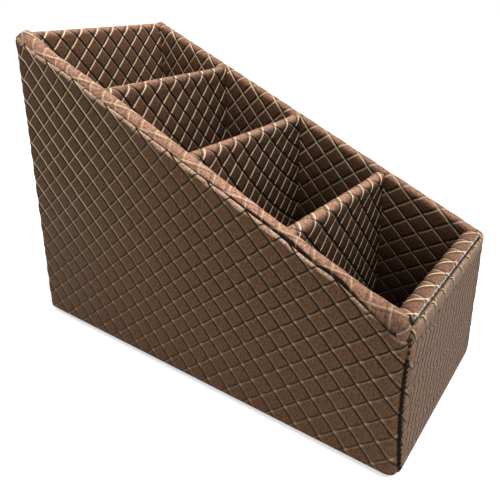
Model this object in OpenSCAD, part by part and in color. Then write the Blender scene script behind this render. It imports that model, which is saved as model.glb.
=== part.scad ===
// Four-slot remote control holder: stiff boards covered in diamond-embossed leatherette.
// The long axis is X, from the tall end (-X) to the low end (+X). The floor is z = 0.
// The near side is -Y. Its outer cover is sewn up the upright corner at +X, -Y.

/* [Box] */
// Length over the outer cover
box_len = 220; // [180:1:260]
// Width over the outer cover
box_w = 100; // [80:1:130]
// Height of the rims of the long sides at the tall end
tall_end_h = 160; // [130:1:190]
// Height of the rims of the long sides at the low end
low_end_h = 73; // [58:1:100]
// Radius of the upright corners of the cover
corner_r = 6; // [4:0.1:8]
// Radius where the cover turns under the base
foot_r = 4; // [3:0.1:4.5]

/* [Boards] */
// Thickness of the four wall boards
wall_board_t = 3.5; // [2.5:0.1:5]
// Thickness of the divider boards
divider_board_t = 3; // [2:0.1:4]
// Thickness of the base board
base_board_t = 3.5; // [3:0.1:6]
// Chamfer along the lower edges of the base board
base_chamfer = 2; // [1:0.1:2.5]
// How much the rounded top edge of a board stays inside each of its faces
edge_ease = 0.05; // [0.03:0.01:0.2]

/* [Leatherette] */
// Thickness of the sheet at the bottom of its grooves
sheet_t = 1.2; // [0.8:0.1:1.8]
// Height of the padded diamonds above their grooves
cell_rise = 0.6; // [0.3:0.1:1]
// Long diagonal of a diamond
cell_long = 12; // [9:0.1:20]
// Short diagonal of a diamond
cell_short = 10.5; // [8:0.1:20]
// Plain strip left around each embossed field of the outer cover
field_margin = 1; // [0.5:0.1:4]
// Plain strip left around each embossed field inside the box
inner_margin = 0.3; // [0.2:0.1:2]

/* [Rim] */
// Thickness of the lining where it is stretched over the edge of a board
rim_sheet_t = 1.55; // [1:0.05:2]
// Open seam between the rim of an end and the top of the outer cover
rim_seam = 0.6; // [0.3:0.1:1.5]
// How much higher the rims of the long sides lie than those of the ends
end_step = 0.6; // [0.5:0.1:1]
// How far the straight parts of a lining run up into its roll
rim_lap = 0.4; // [0.3:0.1:0.6]
// Depth of the folded hem at the top of the outer cover
hem_h = 4.5; // [3:0.1:8]
// Thickness of the skived lip that the lining tucks behind the cover
lip_t = 0.6; // [0.3:0.1:0.8]
// Depth of that lip below the rim
lip_h = 8; // [5:0.5:14]
// Depth of the notches in the top corners of an end board, clear of the long rims
notch_h = 2; // [1:0.1:4]

/* [Dividers] */
// How far the top of a divider lies under the sloping rim
divider_drop = 1.7; // [0:0.1:8]

/* [Base] */
// Width of the cover that is turned under the base board
turn_under = 12; // [8:1:20]
// Thickness of the cloth glued over the underside
base_sheet_t = 0.8; // [0.5:0.1:1.5]
// Distance from the outer cover in to the edge of that cloth
base_sheet_inset = 6; // [5:0.5:7.5]

/* [Corner seam] */
// Width of the butt joint in the outer cover
joint_w = 0.4; // [0.2:0.1:0.6]
// Diameter of the thread run along the joint
run_d = 0.9; // [0.6:0.1:1.2]
// Diameter of the stitches across the joint
stitch_d = 0.6; // [0.4:0.1:0.8]
// Distance from one stitch to the next
stitch_pitch = 2.4; // [2:0.1:6]
// Angle that one stitch spans round the corner
stitch_span = 26; // [15:1:60]

/* [Fits] */
// Clearance between pieces that slide or fold over each other
fit_gap = 0.1; // [0.05:0.01:0.2]
// Extra rounding that keeps the boards clear of the cover's corners
corner_ease = 0.3; // [0.1:0.05:0.5]

/* [Hidden] */
$fn = 48;

board_colour = "#a89878";
leather_colour = "#6b5142";
lining_colour = "#553d30";
cloth_colour = "#2a2420";
thread_colour = "#15120f";

// Thickness of the leatherette over its diamonds, and of a whole wall
skin_t = sheet_t + cell_rise;
wall_t = wall_board_t + 2 * skin_t;
// From the outside of the box to the middle of a wall board
wall_mid = skin_t + wall_board_t / 2;
// Half sizes of the room inside the linings
room_x = box_len / 2 - wall_t;
room_y = box_w / 2 - wall_t;
// Half sizes inside the wall boards
inner_board_x = room_x + skin_t;
inner_board_y = room_y + skin_t;

// The rims are round rolls. The axis of a long one falls from one end to the other, and
// the rims of the ends lie a little lower. The cover ends a seam below the rims of the ends.
rim_r = wall_board_t / 2 + rim_sheet_t;
axis_x = box_len / 2 - wall_mid;
axis_y = box_w / 2 - wall_mid;
tall_axis_z = tall_end_h - rim_r;
low_axis_z = low_end_h - rim_r;
tall_end_axis_z = tall_axis_z - end_step;
low_end_axis_z = low_axis_z - end_step;
axis_fall = tall_axis_z - low_axis_z;
cover_drop = end_step + rim_seam;
slope_len = norm([2 * axis_x, axis_fall]);
slope_deg = atan2(axis_fall, 2 * axis_x);

// Levels of the layers under the compartments
cover_foot_z = base_sheet_t;
base_board_z = cover_foot_z + sheet_t;
base_top_z = base_board_z + base_board_t;
floor_z = base_top_z + skin_t;

// Three dividers part the length into four equal compartments
divider_r = divider_board_t / 2 + rim_sheet_t;
divider_half_t = divider_board_t / 2 + skin_t;
slot_len = (2 * room_x - 6 * divider_half_t) / 4;
divider_pitch = slot_len + 2 * divider_half_t;
divider_half_w = room_y - fit_gap;

// The plain sheet around an embossed field lies this much lower than its grooves
field_lift = 0.1;
plain_t = sheet_t - field_lift;
plain_inset = cell_rise + field_lift;
cover_corner_r = corner_r - plain_inset;
cavity_corner_r = corner_r - skin_t;
board_corner_r = cavity_corner_r + corner_ease;
// The embossed fields root halfway into their sheet
field_root = sheet_t / 2;
// Half widths of the room that a lip takes behind the hem, along a long side and an end
lip_half_x = box_len / 2 - corner_r;
lip_half_y = room_y - fit_gap;
// Larger than the box in every direction
far_out = box_len + box_w + tall_end_h;

// Height of a long rim's axis and of its top above the length position x
function axis_z(x) = tall_axis_z - axis_fall * (x + axis_x) / (2 * axis_x);
function rim_top_z(x) = axis_z(x) + rim_r / cos(slope_deg);
// Position of divider i (1 to 3), and the height of the axis of its rounded top
function divider_x(i) = (i - 2) * divider_pitch;
function divider_axis_z(i) = rim_top_z(divider_x(i)) - divider_drop - divider_r;

// Side view of the box up to a line dz under the rim's axis, from the level z0 up.
// The line is level beyond the corner points of the rim.
module side_view(half_len, z0, dz) {
  turn_x = min(half_len, axis_x);
  low_z = axis_z(turn_x) - dz;
  high_z = axis_z(-turn_x) - dz;
  polygon([
    [-half_len, z0], [half_len, z0], [half_len, low_z],
    [turn_x, low_z], [-turn_x, high_z], [-half_len, high_z]
  ]);
}

// Stands a side view up in X and Z and gives it a thickness from y0 to y1
module along_width(y0, y1) {
  translate([0, y1, 0]) rotate([90, 0, 0]) linear_extrude(y1 - y0) children();
}

// Stands an end view up in Y and Z and gives it a thickness from x0 to x1
module along_length(x0, x1) {
  translate([x0, 0, 0]) rotate([90, 0, 90]) linear_extrude(x1 - x0) children();
}

// Everything under the line dz below the rim's axis
module under_rim(dz) {
  along_width(-far_out, far_out) side_view(far_out, -far_out, dz);
}

// Rectangle with round corners
module round_rect(half_x, half_y, r) {
  square([2 * half_x, 2 * (half_y - r)], center = true);
  square([2 * (half_x - r), 2 * half_y], center = true);
  for (sx = [-1, 1], sy = [-1, 1])
    translate([sx * (half_x - r), sy * (half_y - r)]) circle(r);
}

// Plan of the box, inset all round, with round corners
module plan(inset, r) {
  round_rect(box_len / 2 - inset, box_w / 2 - inset, r);
}

// Upright view with both bottom corners round
module round_foot_view(half, r) {
  translate([0, cover_foot_z + far_out / 2]) round_rect(half, far_out / 2, r);
}

// Upright view with both bottom corners chamfered
module chamfer_foot_view(half, c) {
  polygon([
    [-half + c, base_board_z], [half - c, base_board_z], [half, base_board_z + c],
    [half, far_out], [-half, far_out], [-half, base_board_z + c]
  ]);
}

// Plate ribbed in one direction: half of what raises the diamonds
module ribbed_plate(angle, pitch, reach) {
  n = ceil(reach / pitch);
  ribs = [for (k = [-n : n - 1]) each [[k * pitch, sheet_t], [(k + 0.5) * pitch, skin_t]]];
  rotate([0, 0, angle]) along_length(-reach, reach)
    polygon(concat([[-n * pitch, field_root]], ribs, [[n * pitch, sheet_t], [n * pitch, field_root]]));
}

// Field of diamonds facing up on a sheet that lies in X and Y, cut to the 2D children,
// which reach half_x to both sides and from low_y to high_y
module embossed(cell_x, cell_y, half_x, low_y, high_y) {
  angle = atan2(cell_y, cell_x);
  pitch = cell_x * sin(angle);
  reach = norm([half_x, (high_y - low_y) / 2]) + pitch;
  intersection() {
    linear_extrude(2 * skin_t) children();
    translate([0, (low_y + high_y) / 2, 0]) ribbed_plate(angle, pitch, reach);
    translate([0, (low_y + high_y) / 2, 0]) ribbed_plate(-angle, pitch, reach);
  }
}

// Half tube or half rod along +X, its flat side down, for rims and rounded board edges
module half_round(len, r_out, r_in) {
  rotate([90, 0, 90]) linear_extrude(len) difference() {
    intersection() {
      circle(r_out);
      translate([-r_out, 0]) square([2 * r_out, r_out]);
    }
    if (r_in > 0) circle(r_in);
  }
}

// Rod with round ends along the axis of the near rim
module near_rim_rod(r) {
  translate([-axis_x, -axis_y, tall_axis_z]) {
    rotate([0, 90 + slope_deg, 0]) cylinder(h = slope_len, r = r);
    sphere(r);
  }
  translate([axis_x, -axis_y, low_axis_z]) sphere(r);
}

// Boards

module base_board() color(board_colour) intersection() {
  translate([0, 0, base_board_z]) linear_extrude(base_board_t) plan(skin_t, board_corner_r);
  along_width(-far_out, far_out) chamfer_foot_view(box_len / 2 - skin_t, base_chamfer);
  along_length(-far_out, far_out) chamfer_foot_view(box_w / 2 - skin_t, base_chamfer);
}

// A long wall board stands on the base board. Its sloping top edge is rounded.
module near_board() {
  intersection() {
    linear_extrude(far_out) plan(skin_t, board_corner_r);
    union() {
      along_width(-box_w / 2 + skin_t, -inner_board_y) side_view(box_len / 2 - skin_t, base_top_z, 0);
      difference() {
        near_rim_rod(wall_board_t / 2 - edge_ease);
        under_rim(0);
      }
    }
  }
}

module near_side_board() color(board_colour) near_board();

module far_side_board() color(board_colour) mirror([0, 1, 0]) near_board();

// An end board stands between the long ones, notched at its top corners. Its level top
// edge is rounded.
module end_board(x_mid, top_z) {
  intersection() {
    linear_extrude(far_out) plan(skin_t, board_corner_r);
    translate([x_mid - wall_board_t / 2, -inner_board_y, base_top_z])
      cube([wall_board_t, 2 * inner_board_y, top_z - notch_h - base_top_z]);
  }
  translate([x_mid - wall_board_t / 2, -room_y, base_top_z])
    cube([wall_board_t, 2 * room_y, top_z - base_top_z]);
  translate([x_mid, -room_y, top_z]) rotate([0, 0, 90])
    half_round(2 * room_y, wall_board_t / 2 - edge_ease, 0);
}

module tall_end_board() color(board_colour) end_board(-axis_x, tall_end_axis_z);

module low_end_board() color(board_colour) end_board(axis_x, low_end_axis_z);

// Dividers

// A divider board stands on the floor lining between the side linings
module divider_board(i) color(board_colour) {
  translate([divider_x(i) - divider_board_t / 2, -divider_half_w, floor_z])
    cube([divider_board_t, 2 * divider_half_w, divider_axis_z(i) - floor_z]);
  translate([divider_x(i), -divider_half_w, divider_axis_z(i)]) rotate([0, 0, 90])
    half_round(2 * divider_half_w, divider_board_t / 2 - edge_ease, 0);
}

// An upright level-topped sheet in X and Y with its embossed field, the diamonds facing up
module upright_sheet(half_w, foot_z, top_z) {
  field_half = half_w - inner_margin;
  low_z = floor_z + inner_margin;
  high_z = top_z - inner_margin;
  translate([-half_w, foot_z, 0]) cube([2 * half_w, top_z + rim_lap - foot_z, plain_t]);
  embossed(cell_short, cell_long, field_half, low_z, high_z)
    translate([-field_half, low_z]) square([2 * field_half, high_z - low_z]);
}

// One embossed face of a divider cover, facing +X
module divider_face(i) {
  translate([divider_board_t / 2, 0, 0]) rotate([90, 0, 90])
    upright_sheet(divider_half_w, floor_z, divider_axis_z(i));
}

// A single sheet is folded over the rounded top of the board and hangs down both faces
module divider_cover(i) color(lining_colour) translate([divider_x(i), 0, 0]) {
  divider_face(i);
  mirror([1, 0, 0]) divider_face(i);
  translate([0, -divider_half_w, divider_axis_z(i)]) rotate([0, 0, 90])
    half_round(2 * divider_half_w, divider_r, divider_board_t / 2 + fit_gap);
}

// Linings

// Lining of the near side: an embossed leg inside, a roll over the board and a thin lip outside
module near_lining() {
  field_half = room_x - inner_margin;
  low_z = floor_z + inner_margin;
  translate([0, -inner_board_y, 0]) mirror([0, 1, 0]) rotate([90, 0, 0]) {
    linear_extrude(plain_t) side_view(inner_board_x, base_top_z, -rim_lap);
    embossed(cell_long, cell_short, field_half, low_z, tall_axis_z)
      side_view(field_half, low_z, inner_margin);
  }
  difference() {
    near_rim_rod(rim_r);
    near_rim_rod(wall_board_t / 2 + fit_gap);
    under_rim(0);
  }
  intersection() {
    along_width(-box_w / 2 + skin_t - lip_t, -box_w / 2 + skin_t) side_view(far_out, 0, -rim_lap);
    translate([-lip_half_x, -box_w / 2, 0]) cube([2 * lip_half_x, box_w, far_out]);
    translate([0, 0, -lip_h]) along_width(-far_out, far_out) difference() {
      square(2 * far_out, center = true);
      side_view(2 * far_out, -2 * far_out, 0);
    }
  }
}

module near_side_lining() color(lining_colour) near_lining();

module far_side_lining() color(lining_colour) mirror([0, 1, 0]) near_lining();

// The space that the long walls and their rims take, with a little clearance
module long_walls_space() {
  past = 2 * rim_r;
  for (s = [0, 1]) mirror([0, s, 0]) {
    translate([-axis_x, -axis_y, tall_axis_z]) rotate([0, 90 + slope_deg, 0])
      translate([0, 0, -past]) cylinder(h = slope_len + 2 * past, r = rim_r + fit_gap);
    along_width(-box_w / 2, -room_y) side_view(box_len / 2, 0, 0);
  }
}

// Lining of an end, built at the +X end and made like a side lining. Its roll runs in under
// the rolls of the long sides.
module end_lining(top_z) {
  translate([inner_board_x, 0, 0]) rotate([90, 0, -90]) upright_sheet(room_y, base_top_z, top_z);
  difference() {
    translate([axis_x, -axis_y, top_z]) rotate([0, 0, 90])
      half_round(2 * axis_y, rim_r, wall_board_t / 2 + fit_gap);
    children();
  }
  translate([box_len / 2 - skin_t, -lip_half_y, top_z - lip_h])
    cube([lip_t, 2 * lip_half_y, lip_h + rim_lap]);
}

module tall_end_lining() color(lining_colour) mirror([1, 0, 0])
  end_lining(tall_end_axis_z) mirror([1, 0, 0]) long_walls_space();

module low_end_lining() color(lining_colour) end_lining(low_end_axis_z) long_walls_space();

module floor_lining() color(lining_colour) translate([0, 0, base_top_z])
  linear_extrude(skin_t) square([2 * (room_x - fit_gap), 2 * (room_y - fit_gap)], center = true);

// Outer cover

// Outside of the cover: round in plan and round where it turns under the base
module cover_form(inset, r) {
  intersection() {
    linear_extrude(far_out) plan(inset, r);
    along_width(-far_out, far_out) round_foot_view(box_len / 2 - inset, foot_r);
    along_length(-far_out, far_out) round_foot_view(box_w / 2 - inset, foot_r);
  }
}

// Room inside the cover for the boards
module cover_cavity() {
  intersection() {
    translate([0, 0, base_board_z]) linear_extrude(far_out) plan(skin_t, cavity_corner_r);
    along_width(-far_out, far_out) chamfer_foot_view(box_len / 2 - skin_t, base_chamfer);
    along_length(-far_out, far_out) chamfer_foot_view(box_w / 2 - skin_t, base_chamfer);
  }
}

// Recesses behind the hem for the lips of the linings
module lip_recess() {
  depth = skin_t - lip_t - fit_gap;
  reach = end_step + lip_h + fit_gap;
  band_half_x = lip_half_x + fit_gap;
  band_half_y = lip_half_y + fit_gap;
  difference() {
    union() {
      translate([-band_half_x, -box_w / 2 + depth, 0])
        cube([2 * band_half_x, box_w - 2 * depth, far_out]);
      translate([-box_len / 2 + depth, -band_half_y, 0])
        cube([box_len - 2 * depth, 2 * band_half_y, far_out]);
    }
    under_rim(reach);
  }
}

// Slot of the butt joint at the near low corner, with a round channel for the thread
module corner_joint() {
  translate([box_len / 2 - corner_r, -box_w / 2 + corner_r, 0]) rotate([0, 0, -45]) {
    translate([0, -joint_w / 2, 0]) cube([2 * corner_r, joint_w, far_out]);
    translate([cover_corner_r, 0, 0]) cylinder(h = far_out, r = run_d / 2 + fit_gap / 2);
  }
}

// Embossed field of the near side, facing -Y
module near_field() {
  low_z = cover_foot_z + foot_r + field_margin;
  half_len = box_len / 2 - corner_r - field_margin;
  translate([0, -box_w / 2 + skin_t, 0]) rotate([90, 0, 0])
    embossed(cell_long, cell_short, half_len, low_z, tall_axis_z)
      side_view(half_len, low_z, cover_drop + hem_h);
}

// Embossed field of an end, facing +X
module end_field(top_z) {
  low_z = cover_foot_z + foot_r + field_margin;
  high_z = top_z - rim_seam - hem_h;
  half_w = box_w / 2 - corner_r - field_margin;
  translate([box_len / 2 - skin_t, 0, 0]) rotate([90, 0, 90])
    embossed(cell_long, cell_short, half_w, low_z, high_z)
      translate([-half_w, low_z]) square([2 * half_w, high_z - low_z]);
}

// One band of leatherette round all four walls, hemmed at the top and turned under the base
module outer_cover() color(leather_colour) {
  difference() {
    intersection() {
      union() {
        cover_form(plain_inset, cover_corner_r);
        difference() {
          cover_form(0, corner_r);
          under_rim(cover_drop + hem_h);
        }
      }
      under_rim(cover_drop);
    }
    cover_cavity();
    lip_recess();
    translate([0, 0, -1]) linear_extrude(far_out)
      square([box_len - 2 * turn_under, box_w - 2 * turn_under], center = true);
    corner_joint();
  }
  near_field();
  mirror([0, 1, 0]) near_field();
  end_field(low_end_axis_z);
  mirror([1, 0, 0]) end_field(tall_end_axis_z);
}

// Black thread: a run in the joint and a ladder of short stitches across it
module corner_stitching() color(thread_colour) {
  low_z = cover_foot_z + foot_r + stitch_d;
  high_z = low_end_axis_z - rim_seam - hem_h - stitch_d;
  count = floor((high_z - low_z - run_d) / stitch_pitch);
  stitch_r = cover_corner_r + stitch_d / 2 + fit_gap / 2;
  translate([box_len / 2 - corner_r, -box_w / 2 + corner_r, 0]) rotate([0, 0, -45]) {
    translate([cover_corner_r, 0, low_z]) cylinder(h = high_z - low_z, r = run_d / 2);
    for (k = [0 : count])
      translate([0, 0, low_z + run_d / 2 + k * stitch_pitch]) rotate([0, 0, -stitch_span / 2])
        rotate_extrude(angle = stitch_span) translate([stitch_r, 0]) circle(d = stitch_d);
  }
}

// Cloth glued over the underside, which hides the turned-under edges of the cover
module base_sheet() color(cloth_colour) linear_extrude(base_sheet_t)
  square([box_len - 2 * base_sheet_inset, box_w - 2 * base_sheet_inset], center = true);

base_board();
near_side_board();
far_side_board();
tall_end_board();
low_end_board();
divider_board(1);  // divider_board_1
divider_board(2);  // divider_board_2
divider_board(3);  // divider_board_3
divider_cover(1);  // divider_cover_1
divider_cover(2);  // divider_cover_2
divider_cover(3);  // divider_cover_3
near_side_lining();
far_side_lining();
tall_end_lining();
low_end_lining();
floor_lining();
outer_cover();
corner_stitching();
base_sheet();
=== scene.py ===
"""Looks of a four-slot remote control holder in diamond-embossed leatherette. Sizes are in
millimetres until a mesh is made, and in metres from there, in the frame of the CAD part."""
import math
import bpy
import numpy as np
from mathutils import Matrix, Vector


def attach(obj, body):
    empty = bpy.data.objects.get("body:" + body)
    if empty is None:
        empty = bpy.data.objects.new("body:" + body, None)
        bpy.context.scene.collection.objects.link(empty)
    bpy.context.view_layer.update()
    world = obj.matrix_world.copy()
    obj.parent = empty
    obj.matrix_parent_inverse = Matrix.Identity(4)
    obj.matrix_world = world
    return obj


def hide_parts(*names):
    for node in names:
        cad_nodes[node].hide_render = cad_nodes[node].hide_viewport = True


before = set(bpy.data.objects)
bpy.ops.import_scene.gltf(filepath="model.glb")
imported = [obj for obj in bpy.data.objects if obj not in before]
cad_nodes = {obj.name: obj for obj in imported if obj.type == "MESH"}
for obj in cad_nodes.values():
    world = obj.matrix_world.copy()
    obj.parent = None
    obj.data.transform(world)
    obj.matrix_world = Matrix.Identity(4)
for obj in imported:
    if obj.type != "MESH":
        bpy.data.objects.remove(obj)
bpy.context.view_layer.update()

# Boards
# Stiff grey board makes the base, the four walls and the three dividers. The boards are cut
# square, glued together and hidden by the leatherette and the base cloth.
def new_material(name, roughness, specular):
    material = bpy.data.materials.new(name)
    material.use_nodes = True
    shader = material.node_tree.nodes["Principled BSDF"]
    shader.inputs["Roughness"].default_value = roughness
    shader.inputs["Specular IOR Level"].default_value = specular
    return material, material.node_tree, shader


def tint(tree, factor, dark, light):
    """A colour that runs from dark to light with the factor."""
    ramp = tree.nodes.new("ShaderNodeValToRGB")
    ramp.color_ramp.elements[0].color = (*dark, 1)
    ramp.color_ramp.elements[1].color = (*light, 1)
    tree.links.new(factor, ramp.inputs["Fac"])
    return ramp.outputs["Color"]


def raise_surface(tree, shader, height, distance):
    """The surface stands out by the distance, in metres, where the height is 1."""
    bump = tree.nodes.new("ShaderNodeBump")
    bump.inputs["Distance"].default_value = distance
    tree.links.new(height, bump.inputs["Height"])
    tree.links.new(bump.outputs["Normal"], shader.inputs["Normal"])


board_material, board_tree, board_shader = new_material("grey_board", 0.9, 0.2)
place = board_tree.nodes.new("ShaderNodeTexCoord")
fibres = board_tree.nodes.new("ShaderNodeTexNoise")
fibres.inputs["Scale"].default_value = 900.0
fibres.inputs["Detail"].default_value = 5.0
board_tree.links.new(place.outputs["Object"], fibres.inputs["Vector"])
board_grey = tint(board_tree, fibres.outputs["Fac"], (0.20, 0.155, 0.105), (0.42, 0.35, 0.26))
board_tree.links.new(board_grey, board_shader.inputs["Base Color"])
raise_surface(board_tree, board_shader, fibres.outputs["Fac"], 0.0001)
for name in ("base_board", "near_side_board", "far_side_board", "tall_end_board",
             "low_end_board", "divider_board_1", "divider_board_2", "divider_board_3"):
    cad_nodes[name].data.materials.clear()
    cad_nodes[name].data.materials.append(board_material)


# Leatherette
# Thin foam-backed sheet embossed with diamonds. Gold ink lies in one edge of each embossed
# line and the other edge is a groove darkened with painted shade. Phases p and q count the lines of each
# direction.
def new_group(name, inputs, outputs):
    group = bpy.data.node_groups.new(name, "ShaderNodeTree")
    for label, kind, value in inputs:
        socket = group.interface.new_socket(label, in_out="INPUT", socket_type=kind)
        if value is not None:
            socket.default_value = value
    for label, kind in outputs:
        group.interface.new_socket(label, in_out="OUTPUT", socket_type=kind)
    return group, group.nodes.new("NodeGroupInput"), group.nodes.new("NodeGroupOutput")


def maths(tree, operation, *values, clamp=False):
    node = tree.nodes.new("ShaderNodeMath")
    node.operation = operation
    node.use_clamp = clamp
    for socket, value in zip(node.inputs, values):
        if isinstance(value, (int, float)):
            socket.default_value = value
        else:
            tree.links.new(value, socket)
    return node.outputs[0]


def make_line_group():
    group, given, out = new_group(
        "embossed_lines",
        [("Phases", "NodeSocketVector", None), ("Bow", "NodeSocketFloat", 0.03),
         ("Gold width", "NodeSocketFloat", 0.4), ("Dark width", "NodeSocketFloat", 0.45),
         ("Gold p at", "NodeSocketFloat", 0.0), ("Gold q at", "NodeSocketFloat", 0.0),
         ("Dark p at", "NodeSocketFloat", -1.0), ("Dark q at", "NodeSocketFloat", -1.0)],
        [("Gold p", "NodeSocketFloat"), ("Gold q", "NodeSocketFloat"),
         ("Dark p", "NodeSocketFloat"), ("Dark q", "NodeSocketFloat"),
         ("Crossing", "NodeSocketFloat"), ("Crease", "NodeSocketFloat")])
    parts = group.nodes.new("ShaderNodeSeparateXYZ")
    group.links.new(given.outputs["Phases"], parts.inputs[0])
    p, q = parts.outputs[0], parts.outputs[1]
    line_gap, crossing_width = 7.9, 0.8
    distances = []
    for this, other in ((p, q), (q, p)):
        wave = maths(group, "ABSOLUTE", maths(group, "SINE", maths(group, "MULTIPLY", other, math.pi)))
        bowed = maths(group, "SUBTRACT", this, maths(group, "MULTIPLY", wave, given.outputs["Bow"]))
        from_line = maths(group, "SUBTRACT", bowed, maths(group, "ROUND", bowed))
        distances.append(maths(group, "MULTIPLY", from_line, line_gap))

    def band(distance, centre, width):
        """A soft line: 1 at the centre, falling off to both sides over the width."""
        off = maths(group, "DIVIDE", maths(group, "SUBTRACT", distance, centre), width)
        falloff = maths(group, "MULTIPLY", maths(group, "MULTIPLY", off, off), -1.0)
        return maths(group, "POWER", 2.718, falloff)

    dark = []
    for letter, distance in zip("pq", distances):
        gold_band = band(distance, given.outputs[f"Gold {letter} at"], given.outputs["Gold width"])
        dark.append(band(distance, given.outputs[f"Dark {letter} at"], given.outputs["Dark width"]))
        group.links.new(gold_band, out.inputs[f"Gold {letter}"])
        group.links.new(dark[-1], out.inputs[f"Dark {letter}"])
    near_p, near_q = (band(distance, given.outputs[f"Gold {letter} at"], crossing_width)
                      for letter, distance in zip("pq", distances))
    group.links.new(maths(group, "MULTIPLY", near_p, near_q), out.inputs["Crossing"])
    group.links.new(maths(group, "SUBTRACT", 1.0, maths(group, "MAXIMUM", *dark)), out.inputs["Crease"])
    return group


def make_grain_group():
    group, given, out = new_group(
        "leather_grain",
        [("Size", "NodeSocketFloat", 0.8), ("Vector", "NodeSocketVector", None)],
        [("Pebbles", "NodeSocketFloat"), ("Mottle", "NodeSocketFloat")])
    scale = maths(group, "DIVIDE", 1000.0, given.outputs["Size"])
    pebbles = group.nodes.new("ShaderNodeTexVoronoi")
    pebbles.feature = "SMOOTH_F1"
    pebbles.inputs["Smoothness"].default_value = 0.6
    group.links.new(given.outputs["Vector"], pebbles.inputs["Vector"])
    group.links.new(scale, pebbles.inputs["Scale"])
    group.links.new(pebbles.outputs["Distance"], out.inputs["Pebbles"])
    mottle = group.nodes.new("ShaderNodeTexNoise")
    mottle.inputs["Detail"].default_value = 3.0
    group.links.new(given.outputs["Vector"], mottle.inputs["Vector"])
    group.links.new(maths(group, "MULTIPLY", scale, 0.8), mottle.inputs["Scale"])
    group.links.new(mottle.outputs["Fac"], out.inputs["Mottle"])
    return group


INK_LABELS = ("gold_p", "gold_q", "dark_p", "dark_q", "paleness", "tone", "glue")
line_group = make_line_group()
grain_group = make_grain_group()


def leatherette(name, brown, pale, gold, places, bow=0.02, gold_width=0.32, dark_width=0.42,
                crossing=0.0):
    """places are the distances in mm of gold p, gold q, dark p and dark q from the lines."""
    material, tree, shader = new_material(name, 0.55, 0.12)
    place = tree.nodes.new("ShaderNodeTexCoord")
    phases = tree.nodes.new("ShaderNodeUVMap")
    phases.uv_map = "phases"
    lines = tree.nodes.new("ShaderNodeGroup")
    lines.node_tree = line_group
    lines.inputs["Bow"].default_value = bow
    lines.inputs["Gold width"].default_value = gold_width
    lines.inputs["Dark width"].default_value = dark_width
    for label, value in zip(("Gold p at", "Gold q at", "Dark p at", "Dark q at"), places):
        lines.inputs[label].default_value = value
    tree.links.new(phases.outputs["UV"], lines.inputs["Phases"])
    grain = tree.nodes.new("ShaderNodeGroup")
    grain.node_tree = grain_group
    tree.links.new(place.outputs["Object"], grain.inputs["Vector"])
    strength = {}
    for label in INK_LABELS:
        read = tree.nodes.new("ShaderNodeAttribute")
        read.attribute_name = label
        strength[label] = read.outputs["Fac"]

    def mix(factor, first, second):
        node = tree.nodes.new("ShaderNodeMix")
        node.data_type = "RGBA"
        tree.links.new(factor, node.inputs[0])
        for socket, colour in ((node.inputs[6], first), (node.inputs[7], second)):
            if isinstance(colour, tuple):
                socket.default_value = (*colour, 1)
            else:
                tree.links.new(colour, socket)
        return node.outputs[2]

    def scaled(colour, factor):
        node = tree.nodes.new("ShaderNodeVectorMath")
        node.operation = "SCALE"
        tree.links.new(factor, node.inputs["Scale"])
        if isinstance(colour, tuple):
            node.inputs[0].default_value = colour
        else:
            tree.links.new(colour, node.inputs[0])
        return node.outputs[0]

    wear = tree.nodes.new("ShaderNodeTexNoise")
    wear.inputs["Scale"].default_value = 130.0
    wear.inputs["Detail"].default_value = 2.0
    tree.links.new(place.outputs["Object"], wear.inputs["Vector"])
    uneven = maths(tree, "MULTIPLY_ADD", wear.outputs["Fac"], 1.3, 0.35)
    gold_mask = maths(tree, "MAXIMUM",
                      maths(tree, "MULTIPLY", lines.outputs["Gold p"], strength["gold_p"]),
                      maths(tree, "MULTIPLY", lines.outputs["Gold q"], strength["gold_q"]))
    gold_mask = maths(tree, "MULTIPLY", gold_mask, uneven)
    gold_mask = maths(tree, "MAXIMUM", gold_mask,
                      maths(tree, "MULTIPLY", lines.outputs["Crossing"], crossing), clamp=True)
    dark_p = maths(tree, "MULTIPLY", lines.outputs["Dark p"], strength["dark_p"], clamp=True)
    dark_q = maths(tree, "MULTIPLY", lines.outputs["Dark q"], strength["dark_q"], clamp=True)
    mottle = tree.nodes.new("ShaderNodeMapRange")
    mottle.inputs["From Min"].default_value = 0.3
    mottle.inputs["From Max"].default_value = 0.7
    mottle.inputs["To Min"].default_value = 0.5
    mottle.inputs["To Max"].default_value = 1.5
    tree.links.new(grain.outputs["Mottle"], mottle.inputs["Value"])
    # The first colour is painted shade in the grooves, the second the grey of dried glue.
    groove_shadow, glue_grey = (0.006, 0.003, 0.0015), (0.50, 0.47, 0.45)
    # The paler colour is partly wear and partly a painted highlight on the tops of the rolls and the hem
    # edge, and a painted reflection on the low end.
    speckled = scaled(mix(strength["paleness"], brown, pale), mottle.outputs[0])
    # The per-point factor used here is painted shade: it darkens the brown, and less so the gold, where
    # shade falls, and is 1 on lit tops.
    shade_applied = scaled(speckled, strength["tone"])
    shaded_gold = scaled(gold, maths(tree, "POWER", strength["tone"], 0.4))
    creased = mix(dark_q, shade_applied, groove_shadow)
    gilded = mix(gold_mask, creased, shaded_gold)
    inked = mix(dark_p, gilded, groove_shadow)
    coarse = maths(tree, "SUBTRACT", grain.outputs["Mottle"], 0.42)
    flecks = maths(tree, "MULTIPLY", coarse, 5.0, clamp=True)
    glue_mask = maths(tree, "MULTIPLY", strength["glue"], flecks, clamp=True)
    tree.links.new(mix(glue_mask, inked, glue_grey), shader.inputs["Base Color"])
    height = maths(tree, "MULTIPLY_ADD", grain.outputs["Pebbles"], 0.5, lines.outputs["Crease"])
    raise_surface(tree, shader, height, 0.00035)
    return material


def pillow(p, q):
    """Padding of the diamonds: 0 in the embossed lines and 1 in the middle of a diamond."""
    side_p = 1 - np.cos(np.pi * p) ** 4
    side_q = 1 - np.cos(np.pi * q) ** 4
    return side_p * side_q


def outward(grid, flip=False):
    """Direction away from the board at each point of a grid."""
    along = np.gradient(grid, axis=0)
    across = np.gradient(grid, axis=1)
    normal = np.cross(along, across)
    normal /= np.maximum(np.linalg.norm(normal, axis=2, keepdims=True), 1e-9)
    return -normal if flip else normal


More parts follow.
